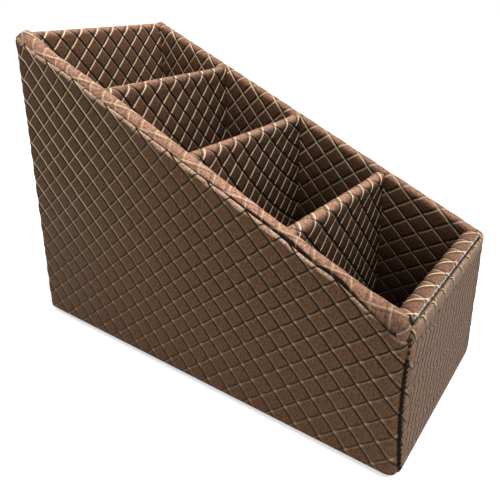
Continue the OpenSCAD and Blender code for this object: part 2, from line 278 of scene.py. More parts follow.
half_x, half_y = 110.0, 50.0
axis_x, axis_y, tall_axis_z, axis_fall = 106.45, 46.45, 156.7, 87.0
tall_end_rise, low_end_rise, far_rise, far_rise_slope = 0.3, -0.5, 1.45, -0.0118


def rim_z(x):
    """Height of the axis of a long rim: it falls from the tall end to the low end."""
    return tall_axis_z - axis_fall * (np.clip(x, -axis_x, axis_x) + axis_x) / (2 * axis_x)


def near_rise(x):
    """The near rim lies a little above or below its straight line."""
    places = [(-110, 0.3), (-106.5, 1.2), (-103, 2.4), (-95, 1.55), (-88, 0.66), (-82, 0.23),
              (-75, 0.55), (-45, 1.1), (-8, 0.45), (70, -0.8), (100, -0.5)]
    return np.interp(x, *zip(*places))


def settle(grid, on_end=False):
    """The made box is a little out of true: its walls stand higher toward the tall end."""
    x, y, z = grid[..., 0], grid[..., 1], grid[..., 2]
    share = np.clip(z / rim_z(x), 0, 1) ** 2
    far = np.clip((y + half_y) / (2 * half_y), 0, 1)
    near = np.where(x < 0, tall_end_rise, low_end_rise) if on_end else near_rise(x)
    moved = grid.copy()
    moved[..., 2] += share * ((1 - far) * near + far * (far_rise + far_rise_slope * x))
    return moved


def lay_sheet(name, patches, material, node, settled=settle):
    """One mesh from patches, each a grid of points in mm, its phases and its ink strengths."""
    points, faces, uvs, marks, first = [], [], [], {}, 0
    for grid, p, q, ink in patches:
        n, m = p.shape
        grid = settled(grid) if settled else grid
        points.append(grid.reshape(-1, 3) / 1000)
        uvs.append(np.stack([p, q], -1).reshape(-1, 2))
        for label in INK_LABELS:
            unset = 1.0 if label == "tone" else 0.0
            value = np.broadcast_to(ink.get(label, unset), (n, m)).reshape(-1)
            marks.setdefault(label, []).append(value)
        index = np.arange(n * m).reshape(n, m) + first
        quads = np.stack([index[:-1, :-1], index[1:, :-1], index[1:, 1:], index[:-1, 1:]], -1)
        faces.append(quads.reshape(-1, 4))
        first += n * m
    points, faces, uvs = np.concatenate(points), np.concatenate(faces), np.concatenate(uvs)
    mesh = bpy.data.meshes.new(name)
    mesh.vertices.add(len(points))
    mesh.vertices.foreach_set("co", points.astype(np.float32).ravel())
    mesh.loops.add(faces.size)
    mesh.loops.foreach_set("vertex_index", faces.astype(np.int32).ravel())
    mesh.polygons.add(len(faces))
    mesh.polygons.foreach_set("loop_start", np.arange(0, faces.size, 4, dtype=np.int32))
    mesh.polygons.foreach_set("use_smooth", np.ones(len(faces), bool))
    layer = mesh.uv_layers.new(name="phases")
    layer.uv.foreach_set("vector", uvs[faces.ravel()].astype(np.float32).ravel())
    for label, values in marks.items():
        attribute = mesh.attributes.new(label, "FLOAT", "POINT")
        attribute.data.foreach_set("value", np.concatenate(values).astype(np.float32))
    mesh.update(calc_edges=True)
    mesh.validate()
    mesh.materials.append(material)
    piece = bpy.data.objects.new(name, mesh)
    bpy.context.scene.collection.objects.link(piece)
    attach(piece, "root")
    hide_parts(node)
    return piece


def lattice(terms, s0, t0, s, t, t_turn=None):
    """Phase at the flat place s, t of a sheet: a polynomial, straight beyond t_turn. Its terms
    count the lines over each 50 mm from the place s0, t0."""
    step = 50
    turn = t if t_turn is None else np.minimum(t, t_turn)
    x, y = (s - s0) / step, (turn - t0) / step
    power = [(0, 0), (1, 0), (0, 1), (2, 0), (1, 1), (0, 2), (3, 0), (2, 1), (1, 2), (0, 3)]
    value = sum(c * x ** i * y ** j for c, (i, j) in zip(terms, power))
    slope = sum(c * j * x ** i * y ** max(j - 1, 0) for c, (i, j) in zip(terms, power) if j)
    return value + slope * (t - turn) / step


# The second brown is the paler colour of the tops: partly wear, partly painted highlight.
inner_brown, scuffed_lit_brown, inner_gold = (0.165, 0.078, 0.045), (0.42, 0.225, 0.145), (1.0, 0.82, 0.52)
inner_lines, inner_gold_width = (-0.6, 0.15, 0.4, -1.3), 0.28
lining_material = leatherette("lining_leatherette", inner_brown, scuffed_lit_brown, inner_gold,
                              inner_lines, gold_width=inner_gold_width)

# Floor lining
# A loose panel of the same leatherette lies on the base board between the linings of the walls.
floor_half_x, floor_half_y, floor_groove_z, floor_rise = 102.8, 42.8, 6.7, 0.6
diamond_w, diamond_h = 12, 10.5
x, y = np.meshgrid(np.linspace(-floor_half_x, floor_half_x, 138),
                   np.linspace(-floor_half_y, floor_half_y, 58), indexing="ij")
p, q = x / diamond_w + y / diamond_h, x / diamond_w - y / diamond_h
grid = np.stack([x, y, floor_groove_z + floor_rise * pillow(p, q)], -1)
lay_sheet("floor_panel", [(grid, p, q, dict(gold_p=0.6, gold_q=0.6, dark_p=0.5, dark_q=0.5))],
          lining_material, "floor_lining")

# Side linings
# One sheet lines the inside of a long wall, rolls over the sloping edge of its board and is
# tucked behind the hem of the outer cover. The ends of the roll are gathered round the corners.
slope = math.atan2(axis_fall, 2 * axis_x)
roll_r, wall_groove_y, wall_foot_z = 3.2, 43.2, 6.0
side_outer_r, side_tuck = 2.75, 185.0
knob_in, knob_out, knob_up = 0.9, 1.4, 0.8
straight_hem_top, full_rise = 1.0, 0.3


def roll_section(turn, inner_r, outer_r, tuck_deg):
    """Across and up from the roll's axis at the angle turn, and the length of sheet to there.
    Past tuck_deg the sheet runs down behind the hem."""
    tuck_in, tuck_down = 0.25, 7.0
    tuck = np.radians(tuck_deg)
    angle = np.minimum(turn, tuck)
    width = np.where(angle < math.pi / 2, inner_r, outer_r)
    past = np.maximum(turn - tuck, 0)
    across = -np.cos(angle) * width - tuck_in * np.minimum(past / 0.2, 1)
    up = np.sin(angle) * roll_r - tuck_down * past ** 1.2
    return across, up, roll_r * turn


def smooth(a):
    a = np.clip(a, 0, 1)
    return a * a * (3 - 2 * a)


def hem_top(x):
    """Height of the near hem over the rim's axis: it is pulled down toward both corners."""
    pulled = [(-108.5, -2.0), (-104, -3.6), (-95, -3.3), (-88, -2.1), (-82, -1.2), (-75, -0.9),
              (-60, -1.1), (-45, -1.7), (-30, -1.4), (0, -1.0), (12, -0.9), (22, -0.35), (58, -0.35),
              (67, -0.9), (76, -0.5), (80, -0.7), (95, -3.7), (104, -5.2)]
    return straight_hem_top + np.interp(x, *zip(*pulled))


def padding(turn, flat_from):
    """Rise of the diamonds: full on the wall, less over the roll and none from flat_from on."""
    rise = np.where(turn < 0, full_rise, full_rise - 0.1 * np.clip(turn, 0, 1))
    return np.where(turn > flat_from, 0.0, rise)


def side_lining(name, side, phase_of, ink_of, node):
    """side is -1 for the near wall and 1 for the far one. The near roll swells to a knob at the
    low end, and both its ends hang down a little over the corners."""
    near = side < 0
    tall_stop, low_stop = (104.6, 104.2) if near else (axis_x, axis_x)
    stations = np.linspace(-tall_stop, low_stop, 186)
    wall_rows = np.linspace(0, 1, 120)[:-1]
    turns = np.radians(np.concatenate([np.linspace(0, side_tuck, 21), [190, 200, 215, 235]]))
    across, up, sheet = roll_section(turns, roll_r, side_outer_r, side_tuck)
    knob = smooth((stations - 88) / 15)[:, None] * near
    knob_width = np.where(turns < math.pi / 2, -knob_in * np.cos(turns), -knob_out * np.cos(turns))
    across = across[None, :] + knob * knob_width[None, :]
    up = up[None, :] + knob * knob_up * np.sin(np.minimum(turns, math.pi / 2))[None, :]
    x = np.repeat(stations[:, None], len(wall_rows), 1)
    z = wall_foot_z + (rim_z(x) - wall_foot_z) * wall_rows
    wall = np.stack([x, np.full_like(x, side * wall_groove_y), z], -1)
    lean = math.sin(slope), math.cos(slope)
    axis = rim_z(stations)[:, None]
    roll_x = stations[:, None] + lean[0] * up
    roll_y = side * (axis_y + across)
    roll = np.stack([roll_x, roll_y, axis + lean[1] * up], -1)
    grid = np.concatenate([wall, roll], 1)
    s = np.concatenate([x, stations[:, None] + lean[0] * sheet], 1)
    t = np.concatenate([z, axis + lean[1] * sheet], 1)
    turn_of = np.concatenate([np.full_like(x, -1), np.repeat(turns[None, :], len(stations), 0)], 1)
    p, q = phase_of(s, t, rim_z(s))
    rise = padding(turn_of, np.radians(150))
    grid = grid + outward(grid, flip=near) * (rise * pillow(p, q))[..., None]
    patches = [(grid, p, q, ink_of(s, t, turn_of))]
    for end in (-1, 1):
        lift = math.atan2(math.cos(slope), math.sin(slope) * end)
        is_knob = near and end > 0
        swings = np.linspace(lift, -1.3 if near else -0.5, 13)
        arc = np.linspace(0, math.pi, 19)
        inner_r, outer_r = (4.1, 4.0) if is_knob else (roll_r, side_outer_r)
        across, up, sheet = roll_section(arc, inner_r, outer_r, 180)
        up = up + knob_up * is_knob * np.sin(arc)
        stop = low_stop if end > 0 else -tall_stop
        over = np.maximum(swings, 0 if near else -1)[:, None]
        tucked = np.minimum(swings, 0)[:, None] * near
        narrow = 1 + 0.19 * tucked
        cap_x = stop + end * np.cos(over) * up * narrow
        cap_y = side * (axis_y + across[None, :] * narrow)
        cap_z = rim_z(stop) + np.sin(over) * up + 5.2 * tucked
        cap = np.stack([cap_x, cap_y, cap_z], -1)
        round_end = end * (lift - swings)[:, None] * roll_r
        s = stop + round_end + lean[0] * sheet[None, :]
        t = rim_z(stop) - round_end * math.tan(slope) + lean[1] * sheet[None, :]
        p, q = phase_of(s, t, rim_z(s))
        rise = 0.2 * np.sin(arc)[None, :] ** 0.5
        cap = cap + outward(cap, flip=near == (end > 0)) * (rise * pillow(p, q))[..., None]
        if end < 0:
            cap, p, q, s, t = (a[::-1] for a in (cap, p, q, s, t))
        patches.append((cap, p, q, ink_of(s, t, np.repeat(arc[None, :], len(swings), 0))))
    if not near:
        patches = [(g[::-1], p[::-1], q[::-1], {k: v[::-1] for k, v in ink.items()})
                   for g, p, q, ink in patches]
    return lay_sheet(name, patches, lining_material, node)


def near_lining_phases(s, t, fold):
    return s / diamond_w + t / diamond_h, s / diamond_w - t / diamond_h


def far_lining_phases(s, t, fold):
    p = lattice((8.701, 4.266, 3.989, -0.217, -0.102, -0.109), 17, 84, s, t, fold)
    q = lattice((-6.015, 3.723, -4.812, -0.297, -0.197, 0.014), 17, 84, s, t, fold)
    return p, q


def over_roll(turn):
    """0 on the wall, rising to 1 on top of the roll, which is painted paler: partly wear, partly painted
    highlight.
    """
    return np.clip((turn - 0.2) / 0.8, 0, 1)


def side_ink(s, t, turn, hem=straight_hem_top, shadow=0.72, scuff_and_sheen=0.5):
    """Painted shade darkens the roll from shadow mm over the hem; the last argument is how much paler
    its top is, partly wear, partly painted highlight. The ink fades and painted shade darkens down the
    wall and toward the low end, and glue shows where the roll meets the hem."""
    roll = over_roll(turn)
    turns = np.radians(np.linspace(90, 235, 80))
    up = roll_section(turns, roll_r, side_outer_r, side_tuck)[1]
    tucked_at = np.interp(-(hem + shadow) / math.cos(slope), -up, turns)
    # Painted shade: the valley where the roll meets the hem is darkened, and the wall is darker downward
    # and toward the low end, its gold fading with it.
    valley = np.clip((turn - tucked_at) / 0.15, 0, 1) * smooth((s + 108) / 4)
    depth = np.clip((rim_z(s) - t) / 60, 0, 1)
    wall_shade = (0.72 - 0.0028 * s) * (1 - 0.75 * depth)
    glue_line = np.clip(1.2 - np.abs(turn - tucked_at - 0.1) / 0.08, 0, 1)
    return dict(gold_p=(1.3 - 0.005 * (s + 60)) * (1 - 0.5 * roll) * (1 - 0.8 * depth),
                gold_q=(0.85 - 0.003 * (s + 60)) * (1 - 0.3 * roll) * (1 - 0.7 * depth),
                dark_p=0.85 - 0.6 * roll, dark_q=0.85 - 0.6 * roll,
                paleness=scuff_and_sheen * roll * (1 - valley),
                tone=(1 - 0.97 * valley) * (wall_shade * (1 - roll) + roll),
                glue=glue_line * 0.8 * smooth((-s - 5) / 40))


def near_side_ink(s, t, turn):
    """The near roll is paler toward the tall end, partly wear, partly painted highlight, and its knob is
    darker outside, painted shade. As the roll slopes, s lies ahead of x on its outside."""
    roll_lead = 3.2
    shadow = 0.7 + 0.9 * smooth((s - 20) / 45) + 0.3 * smooth((s - 78) / 12)
    scuff_and_sheen = 0.95 - 0.5 * smooth((s - 40) / 60)
    ink = side_ink(s, t, turn, hem_top(s - roll_lead), shadow, scuff_and_sheen)
    ink["tone"] = ink["tone"] * (1 - 0.55 * smooth((s - 92) / 14) * smooth((turn - 1.1) / 1.5))
    return ink


side_lining("near_lining_sheet", -1, near_lining_phases, near_side_ink, "near_side_lining")
side_lining("far_lining_sheet", 1, far_lining_phases, side_ink, "far_side_lining")

# End linings
# The same sheet lines each end, rolls over its level board edge between the rolls of the sides
# and is tucked behind the hem.
end_groove_x, end_step, end_outer_r, end_tuck = 103.2, 0.6, 2.3, 140.0


def end_lining(name, end, top_z, inner_r, near_stop, phase_of, ink_of, node):
    """end is -1 for the tall end and 1 for the low one. The sheet eases in to the roll over the
    last 6 mm of the wall."""
    ease_h, far_stop = 6, 45.6
    stations = np.linspace(-near_stop, far_stop, 82)
    wall_z = np.linspace(wall_foot_z, top_z - ease_h, int((top_z - wall_foot_z) / 1.25))[:-1]
    past_tuck = [end_tuck + a for a in (6, 14, 28, 50)]
    turns = np.radians(np.concatenate([np.linspace(0, end_tuck, 19), past_tuck]))
    across, up, sheet = roll_section(turns, inner_r, end_outer_r, end_tuck)
    up = up + (inner_r - roll_r) * 0.3 * np.sin(np.minimum(turns, math.radians(end_tuck)))
    ease = np.linspace(0, 1, 5)[:-1]
    ease_x = end_groove_x - (end_groove_x - axis_x + inner_r) * smooth(ease)
    ease_z = top_z - ease_h + ease_h * ease
    x = np.concatenate([np.full(len(wall_z), end_groove_x), ease_x, axis_x + across])
    z = np.concatenate([wall_z, ease_z, top_z + up])
    flat = np.concatenate([wall_z, ease_z, top_z + sheet])
    turn_of = np.concatenate([np.full(len(wall_z), -1.0), -1 + ease, turns])
    s, t = np.meshgrid(stations, flat, indexing="ij")
    grid = np.stack(np.broadcast_arrays(end * x, s, z), -1)
    turn_of = np.broadcast_to(turn_of, s.shape)
    p, q = phase_of(s, t)
    rise = padding(turn_of, 2.2)
    grid = grid + outward(grid, flip=end > 0) * (rise * pillow(p, q))[..., None]
    ink = ink_of(s, t, turn_of)
    if end < 0:
        grid, p, q = grid[::-1], p[::-1], q[::-1]
        ink = {k: v[::-1] for k, v in ink.items()}
    return lay_sheet(name, [(grid, p, q, ink)], lining_material, node,
                     lambda points: settle(points, True))


tall_end_axis_z = tall_axis_z - end_step
low_end_axis_z = rim_z(axis_x) - end_step


def tall_phases(s, t):
    p = lattice((12.704, 5.04, 4.132), 10, 142, s, t)
    q = lattice((-10.315, 4.714, -4.17), 10, 142, s, t)
    return p, q


def low_phases(s, t):
    low_diamond_h = 11.5
    return s / diamond_w + t / low_diamond_h, s / diamond_w - t / low_diamond_h


def crosswise_ink(depth, top):
    """On a sheet that lies across the box one direction is gold and the other one dark with painted
    groove shade; the gold fades down the wall with painted shade. depth runs from 0 to 1 down the wall,
    and top is 1 on top of the roll."""
    return dict(gold_p=0.15 + 0 * depth, gold_q=1.7 - 0.3 * depth - 0.7 * top,
                dark_p=1.9 - 1.4 * top, dark_q=0.6 + 0 * depth)


def tall_ink(s, t, turn):
    roll = over_roll(turn)
    # Painted shade darkens the wall downward; the top of the roll is paler, partly wear, partly painted
    # highlight.
    depth = np.clip((156 - t) / 90, 0, 1)
    return dict(crosswise_ink(depth, roll), paleness=roll,
                tone=(0.72 - 0.2 * depth) * (1 - roll) + roll)


def low_ink(s, t, turn):
    """A dark gap, painted shade, parts the low roll from the near one; painted shade also darkens the
    valley at its hem and its wall below the top of the roll. A line of glue lies along its seam.
    """
    roll = over_roll(turn)
    gap = np.clip((-s - 41.6 - 0.9 * np.clip(turn, 0, 3)) / 0.4, 0, 1)
    valley = np.clip((turn - 2.2) / 0.1, 0, 1)
    ones = np.ones_like(s)
    return dict(gold_p=0.3 * ones, gold_q=ones, dark_p=0.5 * ones, dark_q=0.5 * ones,
                paleness=0.2 * roll,
                tone=(0.3 + 0.7 * roll) * (1 - 0.97 * gap) * (1 - 0.7 * valley),
                glue=2.5 * np.clip(1.4 - np.abs(turn - 2.34) / 0.1, 0, 1) * (1 - gap))


end_lining("tall_end_sheet", -1, tall_end_axis_z, roll_r, 43.0, tall_phases, tall_ink, "tall_end_lining")
end_lining("low_end_sheet", 1, low_end_axis_z, 7.0, 46.8, low_phases, low_ink, "low_end_lining")

# Divider covers
# Each divider board is wrapped by a single sheet that hangs down both faces from the rounded
# top. The cut edges butt against the side linings.
divider_material = leatherette("divider_leatherette", inner_brown, scuffed_lit_brown, inner_gold,
                               inner_lines, gold_width=inner_gold_width)
divider_groove, divider_top_r, divider_half_w, divider_foot_z, bead_rise = 3.0, 2.9, 43.3, 7.0, 0.8


def divider_cover(name, x_mid, top_z, middle, p_terms, q_terms, tone, drifts, node):
    """The argument after q_terms is painted shade on the faces, darker for the dividers toward the low
    end. drifts are how far the near and the far end of the top stand over its true height.
    """
    stations = np.linspace(-divider_half_w, divider_half_w, 78)
    face_z = np.linspace(divider_foot_z, top_z, int((top_z - divider_foot_z) / 1.2))[:-1]
    turns = np.linspace(0, math.pi, 17)
    arc = divider_top_r * turns
    face_x = divider_groove + bead_rise * smooth((face_z - top_z + 7) / 6)
    x = np.concatenate([face_x, (divider_groove + bead_rise) * np.cos(turns), -face_x[::-1]])
    z = np.concatenate([face_z, top_z + divider_top_r * np.sin(turns), face_z[::-1]])
    flat = np.concatenate([face_z, top_z + arc, top_z + arc[-1] + (top_z - face_z[::-1])])
    s, t = np.meshgrid(stations, flat, indexing="ij")
    grid = np.stack(np.broadcast_arrays(x_mid + x, s, z), -1)
    p = lattice(p_terms, *middle, s, t, top_z)
    q = lattice(q_terms, *middle, s, t, top_z)
    top = np.concatenate([np.zeros(len(face_z)), np.sin(turns), np.zeros(len(face_z))])
    top = np.broadcast_to(top, s.shape)
    grid = grid + outward(grid) * ((full_rise - 0.12 * top) * pillow(p, q))[..., None]
    # Painted shade darkens the faces downward and toward the far end of the divider; the rounded top is
    # paler, partly wear, partly painted highlight.
    depth = np.clip((top_z - grid[..., 2]) / 90, 0, 1)
    top_scuff_and_sheen = top ** 1.2
    face_shade = tone * (1 - 0.45 * depth) * (1.1 - 0.0075 * (s + 43))
    ink = dict(crosswise_ink(depth, top), paleness=top_scuff_and_sheen, tone=np.maximum(face_shade, top_scuff_and_sheen))
    far = (s + divider_half_w) / (2 * divider_half_w)
    drift = drifts[0] + (drifts[1] - drifts[0]) * far + np.clip((far - 0.85) / 0.15, 0, 1) ** 2
    grid[..., 2] += drift * np.clip(grid[..., 2] / top_z, 0, 1) ** 2
    return lay_sheet(name, [(grid, p, q, ink)], divider_material, node, None)


divider_cover("divider_sheet_1", -53.1, 133.71, (12, 117),
              (11.53, 5.027, 4.304, -0.138, -0.197, -0.665),
              (-8.446, 4.862, -4.164, 0.119, -0.127, -0.026), 0.68, (0.2, 2.4), "divider_cover_1")
divider_cover("divider_sheet_2", 0.0, 112.01, (15, 90),
              (9.402, 3.956, 4.332, -0.526, 1.038, 0.406),
              (-7.069, 4.67, -4.765, -0.004, -0.296, -0.128), 0.48, (-0.6, 1.8), "divider_cover_2")
divider_cover("divider_sheet_3", 53.1, 90.32, (15, 68),
              (7.49, 4.175, 4.056, 0.17, 0.172, 0.015),
              (-3.957, 4.577, -4.751, 0.199, 0.014, -0.055), 0.36, (-0.9, -0.5), "divider_cover_3")

# Outer cover
# One band of leatherette is glued round all four walls. It is hemmed at the top, turned under
# the base, and its two ends meet at the corner between the near side and the low end.
foot_r, foot_z, groove_in, under_rows = 4.0, 0.8, 0.3, (12.0, 9.0, 6.5)
sewn_r, front_r, back_r, low_r, sewn_columns = 6.0, 2.6, 4.0, 5.0, 7
hem_w, hem_lift, hem_fold_r, gathered_r, hem_legs = 3.2, 0.3, 0.62, 2.4, (1.5, 3.5)
seam_dip_in, seam_dip_w = 1.1, 0.7


def band_plan():
    """Plan points on the outside of the band from the sewn corner along the near side, the
    tall end, the far side and the low end, with outward directions and band positions."""
    rows = []

    def corner(side_x, side_y, radius, start, stop, count):
        for angle in np.linspace(start, stop, count):
            away_x, away_y = math.cos(angle), math.sin(angle)
            rows.append((side_x * (half_x - radius) + radius * away_x,
                         side_y * (half_y - radius) + radius * away_y, away_x, away_y))

    def straight(x0, y0, x1, y1, away_x, away_y):
        count = int(math.hypot(x1 - x0, y1 - y0) / 1.15)
        for k in range(1, count):
            rows.append((x0 + (x1 - x0) * k / count, y0 + (y1 - y0) * k / count, away_x, away_y))

    turn = math.pi / 2
    corner(1, -1, sewn_r, -turn / 2, -turn, sewn_columns)
    straight(half_x - sewn_r, -half_y, front_r - half_x, -half_y, 0, -1)
    corner(-1, -1, front_r, -turn, -2 * turn, 9)
    straight(-half_x, front_r - half_y, -half_x, half_y - back_r, -1, 0)
    corner(-1, 1, back_r, -2 * turn, -3 * turn, 9)
    straight(back_r - half_x, half_y, half_x - low_r, half_y, 0, 1)
    corner(1, 1, low_r, turn, 0, 11)
    straight(half_x, half_y - low_r, half_x, sewn_r - half_y, 1, 0)
    corner(1, -1, sewn_r, 0, -turn / 2, sewn_columns)
    xs, ys, away_xs, away_ys = np.array(rows, float).T
    run = np.concatenate([[0], np.cumsum(np.hypot(np.diff(xs), np.diff(ys)))])
    return xs, ys, away_xs, away_ys, run


def ends_only(width):
    """1 at the two ends of the band, where it is sewn, and 0 away from them."""
    return np.exp(-(run / width) ** 2) + np.exp(-((run[-1] - run) / width) ** 2)


# Each column of points runs from under the base up the wall, over the fold of the hem and down
# behind it.
plan_x, plan_y, out_x, out_y, run = band_plan()
half_arc = math.pi / 4 * sewn_r
near_s = half_x - sewn_r + half_arc - run
low_s = near_s + (sewn_r - half_y - half_arc - near_s[-1])
far_turn = run[np.argmin(np.hypot(plan_x + half_x, plan_y - half_y))]
low_turn = run[np.argmin(np.hypot(plan_x - half_x, plan_y - half_y))]
side_top = rim_z(plan_x) + np.where(plan_y < 0, hem_top(plan_x), straight_hem_top)
end_top = np.where(plan_x > 0, low_end_axis_z, tall_end_axis_z) + 2.4
past_seam = np.arange(len(run)) >= sewn_columns
on_end = smooth((np.abs(plan_x) - half_x + 3.0) / 2.5) * past_seam
top_z = (side_top + (end_top - side_top) * on_end)[:, None]
tall_near = smooth(1 - np.hypot(plan_x + 109, plan_y + 49) / 9)
fold_r = (hem_fold_r + gathered_r * tall_near)[:, None]
wall_rows = np.linspace(0, 1, 118)
foot_turns = np.linspace(0, math.pi / 2, 7)[:-1]
foot_bend = foot_r - groove_in
foot_in = np.concatenate([under_rows, foot_r - foot_bend * np.sin(foot_turns)])
foot_up = foot_z + np.concatenate([np.full(len(under_rows), groove_in),
                                   foot_r - foot_bend * np.cos(foot_turns)])
wall_from, fold_from = len(foot_in), len(foot_in) + len(wall_rows)
inset = np.tile(np.concatenate([foot_in, np.full(len(wall_rows), groove_in)]), (len(run), 1))
wall_z = foot_z + foot_r + (top_z - fold_r - foot_z - foot_r) * wall_rows
height = np.concatenate([np.tile(foot_up, (len(run), 1)), wall_z], 1)
hem = np.clip(1 - (top_z - height - hem_w) / 1.6, 0, 1)
inset[:, wall_from:] -= hem_lift * hem[:, wall_from:]
fold = np.linspace(0, math.pi, 7)[1:]
fold_in = inset[:, -1:] + fold_r * (1 - np.cos(fold))
fold_z = top_z - fold_r + fold_r * np.sin(fold)
inset = np.concatenate([inset, fold_in, np.repeat(fold_in[:, -1:], len(hem_legs), 1)], 1)
height = np.concatenate([height, fold_z, fold_z[:, -1:] - np.array(hem_legs)], 1)
sheet_t = np.concatenate([height[:, :fold_from], top_z - fold_r + fold_r * fold,
                          top_z - fold_r + fold_r * math.pi + np.array(hem_legs)], 1)
inset = inset + seam_dip_in * ends_only(seam_dip_w)[:, None]


def joint_angle(z):
    """Direction of the sewn joint round its corner: it wanders a little with height."""
    wander = np.interp(z, [2, 16, 32, 48, 65], [2.9, 1.4, 0.3, 0.26, 1.2])
    return -math.pi / 4 + wander / sewn_r


# At the sewn corner both ends of the band are laid up to the joint between them.
plan_x, plan_y, out_x, out_y = (np.repeat(a[:, None], inset.shape[1], 1)
                                for a in (plan_x, plan_y, out_x, out_y))
joint = joint_angle(height[0])
for k in range(sewn_columns):
    on_near = joint + k / (sewn_columns - 1) * (-math.pi / 2 - joint)
    on_low = joint - k / (sewn_columns - 1) * joint
    for column, angle in ((k, on_near), (-1 - k, on_low)):
        out_x[column] = np.cos(angle)
        out_y[column] = np.sin(angle)
        plan_x[column] = half_x - sewn_r * (1 - np.cos(angle))
        plan_y[column] = sewn_r * (1 + np.sin(angle)) - half_y
grid = np.stack([plan_x - out_x * inset, plan_y - out_y * inset, height], -1)


def near_phases(s, t):
    """Beyond the corner of the tall end, at s below -104, the lines run on straight."""
    left = np.maximum(s, -104)
    p = lattice((4.807, 4.148, 4.297, 0.021, 0.097, 0.271, 0.009, 0.032, 0.065, -0.027),
                -15, 59, left, t)
    q = lattice((-7.325, 4.015, -4.895, -0.007, 0.047, 0.062, -0.001, -0.028, -0.023, 0.05),
                -15, 59, left, t)
    return p + (s - left) / diamond_w, q + (s - left) / diamond_w


def low_cover_phases(s, t):
    """Beyond the low end the lines run on straight too."""
    on_low_end = np.clip(s, -half_y, half_y)
    p = lattice((2.549, 4.281, 4.112, -0.107, 0.049, -0.241), 0, 36, on_low_end, t)
    q = lattice((-3.071, 4.6, -4.701, 0.2, 0.1, -0.6), 0, 36, on_low_end, t)
    return p + (s - on_low_end) / 11.8, q + (s - on_low_end) / 11.8


# Along the far side the lines of the near side blend into those of the low end.
s_near, s_low = (np.repeat(a[:, None], height.shape[1], 1) for a in (near_s, low_s))
p_near, q_near = near_phases(s_near, sheet_t)
p_low, q_low = low_cover_phases(s_low, sheet_t)
share = smooth((run - far_turn) / (low_turn - far_turn))[:, None]
at_corner = np.argmin(np.abs(run - low_turn))
p = p_near + share * (p_low - p_near - np.round((p_low - p_near)[at_corner].mean()))
q = q_near + share * (q_low - q_near - np.round((q_low - q_near)[at_corner].mean()))

# The low end is embossed with courses of short slanted strokes, but for a margin of diamonds.
# The strokes are darkened with painted groove shade, each with a faint gold band beside it, a painted
# highlight.
stroke_gap, stroke_h, stroke_strength = 5.2, 10.5, 80.0
from_sides = np.minimum(s_low + 44, 48.5 - s_low)
from_edges = np.minimum(top_z - 7.5 - sheet_t, sheet_t - 1.5)
inside = np.where((run > low_turn)[:, None], np.minimum(from_sides, from_edges), -9.0)
courses = np.floor((sheet_t + 0.25 * s_low) / stroke_h)
p = np.where(inside > 0, -(s_low - 0.38 * (sheet_t - 36)) / stroke_gap - 0.5 * (courses % 2), p)
q = np.where(inside > 0, p + 0.08, q)

# The diamonds are padded on the walls, less so on the hem, and flat at the foot and the seam.
rise = np.where(np.arange(height.shape[1]) < wall_from, 0.0, full_rise)
on_hem = np.pad(hem, ((0, 0), (0, height.shape[1] - fold_from)), mode="edge")
rise = rise * (1 - 0.45 * on_hem) * np.clip((height - foot_z - foot_r) / 3, 0, 1)
rise = rise * (1 - ends_only(2.5))[:, None]
grid = grid + outward(grid, flip=True) * (rise * pillow(p, q))[..., None]

# Gold is strongest high up toward the tall end, the painted groove shade is darker higher up, and the
# edge of the hem is paler, partly wear, partly painted highlight. Painted shade darkens the cells where
# the gold is strongest; the low end gets a paler painted sheen, more toward its top.
past_corner = smooth((-s_near - 114) / 15)
gilding = np.clip((sheet_t - 42) / 68, 0, 1.2) * np.clip((-s_near - 5) / 60, 0, 1.3)
gilding = gilding + (0.4 - gilding) * past_corner
groove_gain = 0.5 + 0.45 * smooth((s_near + 20) / 35)
groove_strength = 1 + np.clip((sheet_t - 18) / 45, 0, 1) * groove_gain * (1 - past_corner)
below_top = top_z - height
low_near = smooth((plan_x - 60) / 25) * (plan_y < -45)
edge = smooth((1.6 - below_top - 0.8 * low_near + 0.4 * np.sin(run / 2.3)[:, None]) / 0.6)
edge = edge * (1 - 0.5 * low_near - 0.3 * smooth((plan_x - 93) / 8) * (plan_y < -43))
hem_glow = smooth((6 - below_top) / 6)
low_face = smooth((run - low_turn) / 12)[:, None] + 0 * height
edge = edge * (1 - 0.5 * low_face)
not_low = 1 - low_face
cover_ink = dict(
    gold_p=(0.13 + 1.15 * gilding) * not_low + (0.1 + 0.85 * hem_glow) * low_face,
    gold_q=(0.12 + 0.3 * gilding) * not_low + (0.15 + 0.4 * hem_glow) * low_face,
    dark_p=0.95 * groove_strength * not_low + 1.1 * low_face,
    dark_q=0.6 * groove_strength * not_low + 1.0 * low_face,
    paleness=np.maximum(0.92 * edge, low_face * (0.16 + 0.1 * hem_glow)),
    tone=((1.03 - 0.25 * np.minimum(gilding, 1)) * not_low + 0.93 * low_face) * (1 - edge) + edge)
for label in ("gold_p", "gold_q", "dark_p", "dark_q"):
    stroke = stroke_strength if label == "dark_p" else 0.0
    cover_ink[label] = cover_ink[label] * smooth(-inside / 2) + stroke * smooth(inside / 2)
# The second brown is the paler colour of the hem edge and the low end: partly wear, partly painted
# highlight and reflection.
cover_brown, scuffed_sheen_brown, cover_gold = (0.092, 0.044, 0.019), (0.52, 0.33, 0.225), (0.70, 0.54, 0.29)
cover_material = leatherette("cover_leatherette", cover_brown, scuffed_sheen_brown, cover_gold,
                             (0.0, 0.15, -0.95, -0.65), bow=0.03, crossing=0.35, gold_width=0.27,
                             dark_width=0.34)
cover_ink = {label: values[::-1] for label, values in cover_ink.items()}
lay_sheet("outer_band", [(grid[::-1], p[::-1], q[::-1], cover_ink)],
          cover_material, "outer_cover")

